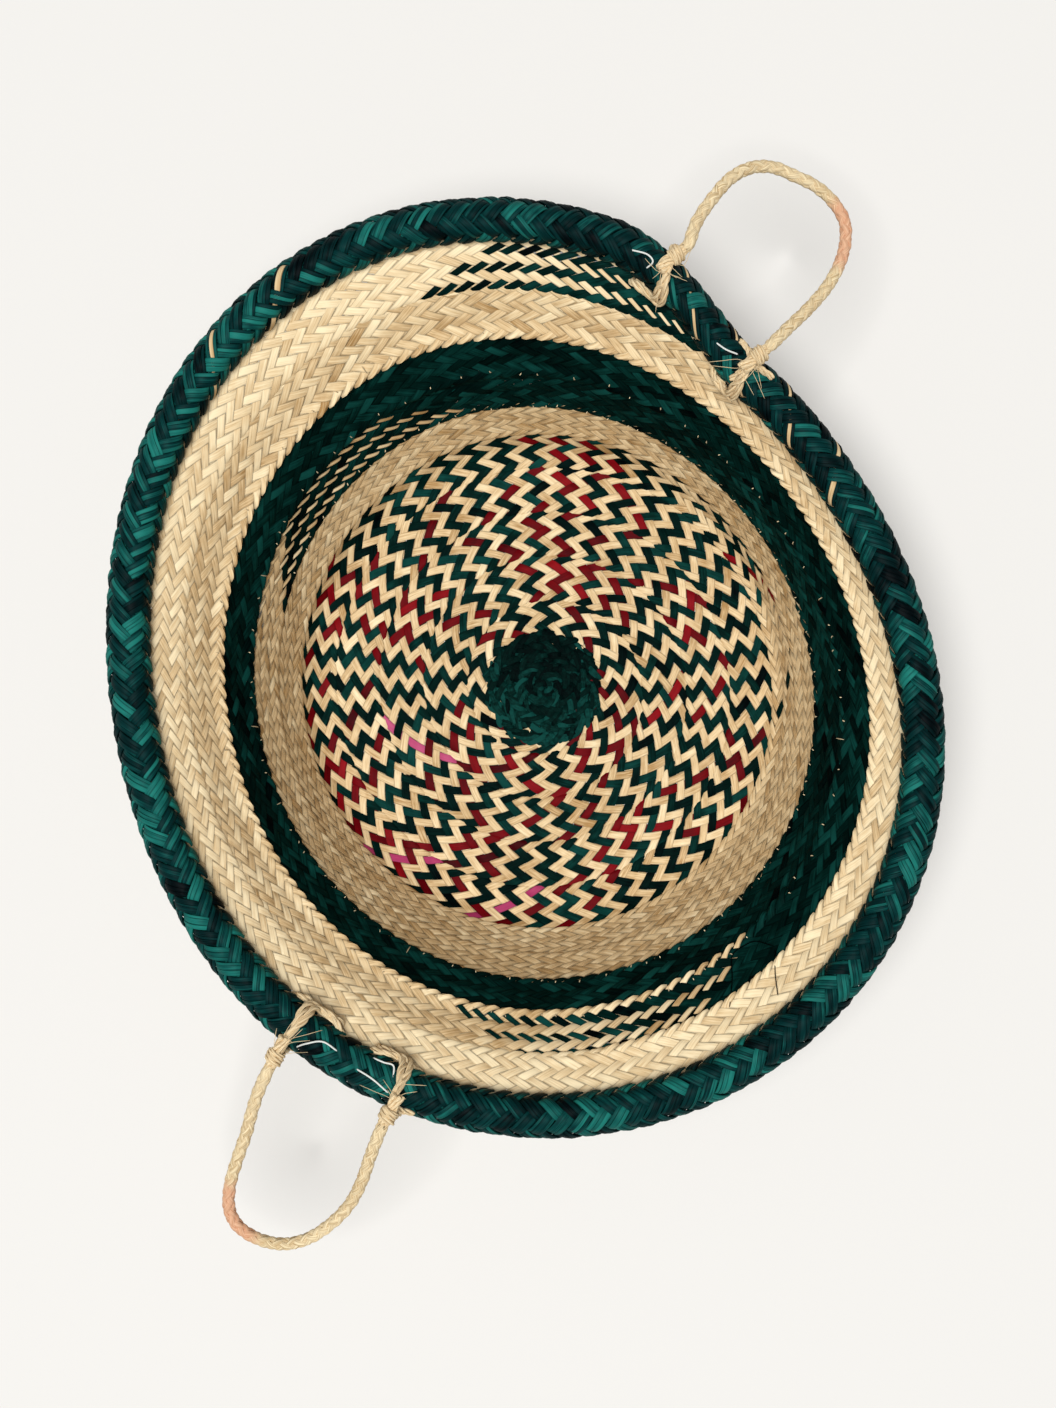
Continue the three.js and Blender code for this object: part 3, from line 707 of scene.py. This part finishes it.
line = rim_point(angles, RIM_RISE, 0.0)
rim_along = np.concatenate([[0], np.cumsum(np.linalg.norm(np.diff(line, axis=0), axis=1))])
rim_strands = int(round(rim_along[-1] / RIM_SPACING / 2)) * 2
rim_at = rim_along / rim_along[-1] * rim_strands
rim_rings = [[], [], []]
rim_tones = [[], [], []]
light_rings = []
for way in (1, -1):
    for index in range(rim_strands):
        middle = float(np.interp(np.mod(index + way * 2.2, rim_strands), rim_at, angles))
        # Painted light: the leaf is a little lighter towards the lower left, the side the light
        # comes from.
        shade = random.gauss(0.45 + 0.08 * math.cos(math.radians(middle - 225)), 0.2)
        pale_with_sheen = 0.0
        aside = random.uniform(-0.03, 0.03)
        # One stretch has some bright strips, paler leaf with painted sheen, and at three places
        # strips were left undyed.
        if 250 < middle < 330 and way < 0 and random.random() < 0.35:
            pale_with_sheen = 0.45
        if way < 0:
            bare = 20 < middle < 64 and index % 4 == 0
        else:
            bare = min(abs(middle - 316), abs(middle - 329)) < 1.1
        # Across the strand: its two edges, and where it is split into three strips.
        cuts = [-1, random.uniform(-0.5, -0.1), random.uniform(0.2, 0.6), 1]
        for strip in range(3):
            q = np.linspace(0.3, RIM_ROWS - 0.15, RIM_RINGS)[:, None]
            low, high = cuts[strip] + 0.02, cuts[strip + 1] - 0.02
            t = np.array([low, (low + high) / 2, high])[None, :]
            offset = t * 0.47
            fade = np.clip(np.minimum(0.5 + q, RIM_ROWS - q) / FOLD_FADE, 0, 1)
            rows = q - way * offset * fade
            beat = np.cos(math.pi / 2 * (q - 4.5))
            beat = way * np.sign(beat) * np.abs(beat) ** 0.6
            # Where it lies over the others each strip is a little slack and crowned.
            over = beat > -0.2
            slack = random.uniform(-0.0002, 0.00025)
            height = -0.0013 + RIM_LIFT * beat + (0.0004 + slack) * over
            height = height + 0.00035 * (1 - t * t) * over + np.array([0, 0.0002, 0])
            height = height + 0.00012 * np.sin(q * 1.7 + random.uniform(0, 6))
            upper, lower = height + RIM_HALF_THICK, height[:, ::-1] - RIM_HALF_THICK
            all_rows = np.concatenate([rows, rows[:, ::-1]], axis=1)
            all_n = np.concatenate([upper, lower], axis=1)
            all_t = np.concatenate([offset, offset[:, ::-1]], axis=1) + aside
            x = np.mod(index + all_t + way * all_rows / 2, rim_strands)
            angle = np.interp(x, rim_at, angles)
            turn = LIP + (2 * math.pi - 2 * LIP) * np.clip(all_rows, 0, RIM_ROWS) / RIM_ROWS
            a = RIM_RISE - (RIM_ALONG + all_n) * np.cos(turn)
            b = (RIM_ACROSS + all_n) * np.sin(turn)
            rings = rim_point(angle, a, b)
            if bare and strip == 1:
                light_rings.append(rings)
            else:
                third = min(3 * index // rim_strands, 2)
                rim_rings[third].append(rings)
                pale = pale_with_sheen if strip == 1 else 0
                rim_tones[third].append(min(max(random.gauss(shade, 0.12) + pale, 0), 1))
band = template(RIM_RINGS, 6)
for third in range(3):
    name = f"rim_braid_leaf_{third + 1}"
    rings, tones = rim_rings[third], rim_tones[third]
    replaced = ["rim_braid"] if third == 0 else []
    lay_tubes(name, band, rings, tones, "body", rim_material, replaced)
tones = np.full(len(light_rings), 0.42)
lay_tubes("rim_braid_light_leaf", band, light_rings, tones, "body", natural_leaf)


# The rim's core: a loose bundle of undyed leaf, six strands laid round each other, that the braid
# is worked over. It fills the braid and keeps it round, and hardly shows.
def round_tube(path, radius):
    """Six-sided rings round a path, drawn in at both ends."""
    tangent, side, other = frames_along(path)
    width = np.full(len(path), radius)
    width[[0, -1]] *= 0.45
    turn = (np.arange(6) * math.pi / 3)[None, :, None]
    ring = np.cos(turn) * side[:, None] + np.sin(turn) * other[:, None]
    return path[:, None] + width[:, None, None] * ring


def bundle(path, count, ring, strand, lay):
    """Round strands that twist loosely round a path, one turn in each lay."""
    tangent, side, other = frames_along(path)
    along = np.concatenate([[0], np.cumsum(np.linalg.norm(np.diff(path, axis=0), axis=1))])
    tubes = []
    for k in range(count):
        turn = 2 * math.pi * (along / lay + k / count)
        wander = 1 + 0.25 * np.sin(along * random.uniform(200, 500) + random.uniform(0, 6))
        out = np.cos(turn)[:, None] * side + np.sin(turn)[:, None] * other
        radius = strand * random.uniform(0.85, 1.15)
        tubes.append(round_tube(path + (ring * wander)[:, None] * out, radius))
    return tubes


core_line = rim_point(np.arange(0, 358.1, 2.0), 0.0048, 0.0)
core = bundle(core_line, 6, ring=0.0017, strand=0.0012, lay=0.05)
core_pattern = template(len(core_line), 6)
tones = chance.random(6)
lay_tubes(
    "rim_core_bundle",
    core_pattern,
    core,
    tones,
    "body",
    natural_leaf,
    ["rim_core"],
)

# The ties and knots: at each end of each handle two thin cords of laid palm fibre go over the rim,
# out through the wall below it and back up into a knot, where a few turns of cord are wrapped
# round the rope's end. Short frayed fibres stand out of each knot.
KNOT_RISE = 0.0067  # a knot's middle above the braid
KNOT_REACH = 0.0086  # how far a knot's inner strands go towards the rope
TIE_OFF = 0.0035  # a tie's middle off the braid
WRAP_TURNS = 2.6
FRAYS = 10
# The cord has the ropes' dull, streaked look, unstained and a little paler in its dark streaks.
tie_material = fibre_material("palm fibre cord", "#B8935E", "#F8E4BC")
# Where each tie goes over the rim and comes back, in degrees, and how far out its knot stands.
ties = {
    "handle_a": [(18.5, 14.5, 0.005), (34.5, 31, 0.005)],
    "handle_b": [(214.5, 210, 0.011), (198, 202.5, 0.007)],
}


def knot_axis(over, shift):
    """The way out from the basket at a knot, and the knot's middle."""
    lean = float(lean_at(top_edge(over)))
    outward = np.array([math.sin(math.radians(over)), math.cos(math.radians(over)), 0])
    centre = rim_point(float(over), RIM_RISE, 0.0) + outward * shift
    crown = math.hypot(RIM_ALONG * math.cos(lean), RIM_ACROSS * math.sin(lean))
    centre[2] += crown + KNOT_RISE
    return outward, centre


def tie_path(over, back, shift, aside):
    """A tie's route, aside degrees from the middle of the pair."""
    outward, centre = knot_axis(over, shift)

    def near(out, up):
        return centre + outward * out + np.array([0, 0, up])

    def wound(turn, share):
        turn = math.radians(turn)
        angle = over + (back - over) * share + aside
        a = RIM_RISE + (RIM_ALONG + TIE_OFF) * math.cos(turn)
        return rim_point(angle, a, (RIM_ACROSS + TIE_OFF) * math.sin(turn))

    # From the knot over the rim, down its inside, out below it and up the outside again.
    points = [near(0.001, 0), near(-0.0052, 0), near(-0.0108, -0.0022)]
    points += [wound(100, 0), wound(124, 0), wound(145, 0.12), wound(155, 0.5), wound(160, 0.88)]
    points += [wound(180, 1), wound(205, 1), wound(245, 0.65), wound(285, 0.25)]
    points += [wound(320, 0), wound(345, 0), near(0.0045, -0.0075), near(0.0033, -0.0011)]
    return smooth_path(points, 70)


def lay_fibre(name, count, tubes, tones, replaced=()):
    """A piece of fibre on the basket, of tubes with count rings each."""
    pattern = template(count, 6)
    lay_tubes(name, pattern, tubes, tones, "body", tie_material, replaced)


fray_rings = []
for handle, pair in ties.items():
    level = handle_shapes[handle]["level"]
    for i, (over, back, shift) in enumerate(pair):
        cords = []
        for aside in (-0.5, 0.5):
            one_cord = tie_path(over, back, shift, aside)
            cords += bundle(one_cord, 3, ring=0.00115, strand=0.00095, lay=0.02)
        name = f"{handle}_tie_{i + 1}"
        lay_fibre(name + "_cords", 70, cords, chance.random(len(cords)), [name])
        # The knot: strands that run on from the rope, with turns of cord wrapped round them.
        outward, centre = knot_axis(over, shift)
        square = np.cross(level, [0, 0, 1])
        inside = smooth_path([centre + level * x for x in (-0.0078, 0, KNOT_REACH)], 24)
        turns_on = bundle(inside, 6, ring=0.0021, strand=0.0012, lay=0.03)
        x = np.linspace(0.0005, 0.0062, 60)
        turn = np.linspace(0, 2 * math.pi * WRAP_TURNS, 60)
        round_it = np.cos(turn)[:, None] * square + np.sin(turn)[:, None] * np.array([0, 0, 1])
        coil = centre + level * x[:, None] + 0.0036 * round_it
        turns_on = [smooth_path(t.mean(axis=1), 60) for t in turns_on]
        wraps = [round_tube(t, 0.0012) for t in turns_on]
        wraps += bundle(coil, 3, ring=0.0007, strand=0.0007, lay=0.02)
        name = f"{handle}_knot_{i + 1}"
        lay_fibre(name + "_wraps", 60, wraps, chance.random(len(wraps)), [name])
        # Frayed fibres point in over the rim, clear of the rope that swings.
        for _ in range(FRAYS):
            way = chance.normal(size=3) * 0.7 + level * -0.3 - outward * 1.3
            way[2] = abs(way[2]) * 0.4
            way /= np.linalg.norm(way)
            bend = chance.normal(size=3) * 0.0035
            start = centre + level * random.uniform(-0.006, 0.006)
            reach = random.uniform(0.008, 0.017)
            route = [start, start + way * reach * 0.5, start + way * reach * 0.8 + bend]
            route += [start + way * reach + bend * 1.8]
            fray_rings.append(round_tube(smooth_path(route, 12), 0.00014))

# The ties' ends: short lengths of the same laid cord, tucked under the ties or left loose on the
# rim beside the knots. Each point is an angle, degrees round the braid from its underside towards
# the inside, and the height over it.
ends = [
    [(34.2, 130, 0.004), (33.6, 105, 0.003), (33.0, 80, 0.002)],
    [(34.8, 140, 0.004), (36.5, 150, 0.003), (38.2, 158, 0.0015)],
    [(34.0, 150, 0.004), (32.6, 160, 0.003), (31.2, 168, 0.0015)],
    [(198.0, 150, 0.004), (196.5, 158, 0.003), (195.2, 166, 0.001)],
    [(18.0, 40, 0.002), (17.0, 20, 0.003), (14.5, 8, 0.001)],
    [(19.0, 60, 0.002), (18.6, 35, 0.003), (17.6, 12, 0.001)],
    [(217.8, 10, 0.0), (215.5, 24, 0.003), (213.0, 14, 0.002), (210.5, 30, 0.003)]
    + [(208.3, 22, -0.001)],
    [(204.0, 22, 0.0), (201.5, 36, 0.003), (199.0, 26, 0.003), (195.6, 12, -0.001)],
    [(29.0, 12, 0.0), (31.0, 26, 0.003), (33.0, 14, -0.001)],
]


def on_rim(angle, turn, lift):
    """A point on the rim braid, lift above its surface."""
    turn = math.radians(turn)
    a = RIM_RISE - (RIM_ALONG + lift) * math.cos(turn)
    return rim_point(float(angle), a, (RIM_ACROSS + lift) * math.sin(turn))


end_rings = []
for spots in ends:
    route = smooth_path([on_rim(*spot) for spot in spots], 30)
    end_rings += bundle(route, 3, ring=0.0009, strand=0.0008, lay=0.016)
lay_fibre("tie_ends", 30, end_rings, chance.random(len(end_rings)))
lay_fibre("frayed_fibres", 12, fray_rings, 0.5 + 0.5 * chance.random(len(fray_rings)))

# Thread and stitches: ends of the pale thread that the rim was sewn with, two loose dark fibres of
# leaf, and the small pale stitches that hold each green turn to the one before it.
# The thread is dull and a cool white, so that it stands out from the leaf.
thread_material = fibre_material("pale sewing thread", "#D5DAD4", "#F4F6F0")
threads = [
    [(213.3, 185, 0.0), (212.0, 125, 0.002), (210.2, 99, 0.0025), (207.8, 97, 0.0)],
    [(204.3, 112, 0.0), (201.8, 114, 0.0022), (199.2, 132, 0.0005)],
    [(203.0, 60, 0.0), (201.2, 66, 0.002), (199.8, 64, 0.0022), (199.2, 102, 0.0)],
    [(28.5, 106, 0.0), (30.2, 117, 0.002), (32.0, 135, 0.001)],
    [(13.2, 105, 0.0), (15.5, 117, 0.003), (16.3, 112, 0.0035), (15.5, 80, 0.0)],
]
thread_rings = []
for spots in threads:
    route = smooth_path([on_rim(*spot) for spot in spots], 24)
    thread_rings.append(round_tube(route, 0.00045))
thin = template(24, 6)
tones = np.full(len(thread_rings), 0.9)
lay_tubes("sewing_thread", thin, thread_rings, tones, "body", thread_material)
fibres = [
    [(0.241, 148.5), (0.229, 146.0), (0.216, 143.5), (0.2165, 141.0), (0.2185, 139.3)]
    + [(0.229, 137.3)],
    [(0.2505, 141.5), (0.241, 139.8), (0.2315, 137.5)],
]
fibre_rings = []
for spots in fibres:
    route = [place(u, 0.0032, angle) for u, angle in spots]
    fibre_rings.append(round_tube(smooth_path(route, 24), 0.0003))
tones = np.zeros(len(fibre_rings))
lay_tubes("loose_fibres", thin, fibre_rings, tones, "body", green_leaf)
STITCHES_FROM, STITCHES_TO = 655.0, 1440  # the seams of the green turns
speck_rings = []
turn = STITCHES_FROM
while turn < STITCHES_TO:
    long = random.random() < 0.08
    u = float(inner_edge(turn)) + random.uniform(-0.001, 0.0025)
    slant = random.uniform(-0.4, 0.4)
    length = random.uniform(0.004, 0.007) if long else random.uniform(0.0009, 0.0017)
    route = []
    for s in (0, 0.5, 1):
        lift = 0.0031 + 0.0006 * (1 - (2 * s - 1) ** 2)
        route.append(place(u + length * (s - 0.5), lift, turn + slant * s))
    speck_rings.append(round_tube(smooth_path(route, 5), 0.00028))
    turn += random.uniform(2.0, 7.0)
tones = np.full(len(speck_rings), 0.8)
stitch = template(5, 6)
lay_tubes("seam_stitches", stitch, speck_rings, tones, "body", natural_leaf)


# The middle of the base: the folded start of the spiral, a narrow green braid in three close coils,
# with many small loops of leaf that stand out of it.
LOOP_LAYERS, LOOP_RINGS = 3, 6
RING_STEP = 0.0052  # from one ring of loops to the next
LOOP_STEP = 0.0042  # from one loop to the next in its ring
LOOP_HEIGHT, LAYER_STEP = 0.0018, 0.0007
LOOP_THICK = 0.0002


def leaf_loop(path, width, thick):
    """Six-sided rings of a strip of leaf that stays level across its path."""
    path = smooth_path(path, 14)
    tangent = np.gradient(path, axis=0)
    wide = np.cross(tangent, [0, 0, 1.0])
    wide /= np.linalg.norm(wide, axis=1)[:, None]
    up = np.cross(wide, tangent)
    up /= np.linalg.norm(up, axis=1)[:, None]
    width = width * np.clip(np.sin(np.linspace(0.2, math.pi - 0.2, 14)) * 2, 0, 1)
    spots = [(-1, 0.0), (0, 1.2), (1, 0.0), (1, -1.0), (0, 0.2), (-1, -1.0)]
    rings = [path + wide * (t * width / 2)[:, None] + up * (n * thick) for t, n in spots]
    return np.stack(rings, axis=1)


button_rings = []
button_tones = []


def add_loop(r, at, swing, out, lift, width):
    """A loop round the middle at radius r, swing degrees long and out metres across."""
    path = []
    low, high = LOOP_HEIGHT, lift * 0.9
    for along, up in ((-0.5, low), (-0.3, high), (0.0, lift), (0.3, high), (0.5, low)):
        angle = math.radians(at + swing * along)
        far = max(r + out * along, 0.0004)
        path.append(np.array([far * math.sin(angle), far * math.cos(angle), up]))
    button_rings.append(leaf_loop(path, width, LOOP_THICK))
    # Painted light: the leaf is lighter towards the photograph's lower edge, the side the light
    # comes from.
    light = -0.26 * math.cos(math.radians(at - 20)) * min(r / 0.02, 1)
    button_tones.append(min(max(0.48 + light + random.gauss(0, 0.25), 0.1), 1))


for layer in range(LOOP_LAYERS):
    for ring in range(LOOP_RINGS):
        r = 0.003 + RING_STEP * ring
        count = int(2 * math.pi * r / LOOP_STEP) + 2
        for k in range(count):
            at = 360 * k / count + random.uniform(-14, 14)
            way = 1 if (layer + ring) % 2 else -1
            swing = min(math.degrees(random.uniform(0.007, 0.016) / r), 150)
            lift = LOOP_HEIGHT + LAYER_STEP * layer + random.uniform(0, LAYER_STEP)
            radius = r + random.uniform(-0.001, 0.001)
            out = way * random.uniform(0.002, 0.009)
            add_loop(radius, at, swing, out, lift, random.uniform(0.0022, 0.0036))
lay_tubes(
    "centre_button",
    template(14, 6),
    button_rings,
    button_tones,
    "body",
    green_leaf,
    ["centre_start", "centre_coil"],
)

# Under the loops: the flat coil of green braid that they stand on. It closes the bottom and is
# hidden by them, so it is a plain disc.
PAD_RADIUS, PAD_THICK = 0.0325, 0.0009
PAD_HEIGHT = 0.00055  # the pad's middle above the floor
bm = bmesh.new()
bmesh.ops.create_cone(
    bm, cap_ends=True, segments=48, radius1=PAD_RADIUS, radius2=PAD_RADIUS, depth=PAD_THICK
)
bmesh.ops.translate(bm, verts=bm.verts, vec=(0, 0, PAD_HEIGHT))
pad_mesh = bpy.data.meshes.new("centre_pad")
bm.to_mesh(pad_mesh)
bm.free()
pad_mesh.materials.append(green_leaf)
centre_pad = bpy.data.objects.new("centre_pad", pad_mesh)
bpy.context.scene.collection.objects.link(centre_pad)
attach(centre_pad, "body")

# Floor and light: a plain pale floor and one broad soft lamp overhead, with an even pale sky. The
# camera sees the sky as pale as the floor, and it lights the basket only a little.
PALE = "#E6E4E0"
floor_mesh = bpy.data.meshes.new("floor")
bm = bmesh.new()
bmesh.ops.create_grid(bm, x_segments=1, y_segments=1, size=3)
bm.to_mesh(floor_mesh)
bm.free()
floor = bpy.data.objects.new("floor", floor_mesh)
bpy.context.scene.collection.objects.link(floor)
paper = bpy.data.materials.new("pale floor")
paper.use_nodes = True
paper_surface = paper.node_tree.nodes["Principled BSDF"]
paper_surface.inputs["Base Color"].default_value = linear(PALE)
paper_surface.inputs["Roughness"].default_value = 0.9
floor_mesh.materials.append(paper)

lamp_data = bpy.data.lights.new("overhead", "AREA")
lamp_data.shape = "DISK"
lamp_data.size = 3.6
lamp_data.energy = 402
lamp = bpy.data.objects.new("overhead", lamp_data)
lamp.location = (-0.3, -0.5, 6.0)
direction = -lamp.location
lamp.rotation_euler = direction.to_track_quat("-Z", "Y").to_euler()
bpy.context.scene.collection.objects.link(lamp)

world = bpy.data.worlds.new("studio")
world.use_nodes = True
sky = world.node_tree.nodes["Background"]
sky.inputs["Color"].default_value = (1, 1, 1, 1)
sky.inputs["Strength"].default_value = 0.15
backdrop = node(
    world.node_tree, "ShaderNodeBackground", {"Color": linear(PALE), "Strength": 0.85}
)
seen = node(world.node_tree, "ShaderNodeLightPath")
behind = node(
    world.node_tree,
    "ShaderNodeMixShader",
    {0: seen.outputs["Is Camera Ray"], 1: sky.outputs[0], 2: backdrop.outputs[0]},
)
world_out = world.node_tree.nodes["World Output"]
world.node_tree.links.new(behind.outputs[0], world_out.inputs["Surface"])
bpy.context.scene.world = world
bpy.context.scene.view_settings.view_transform = "Standard"
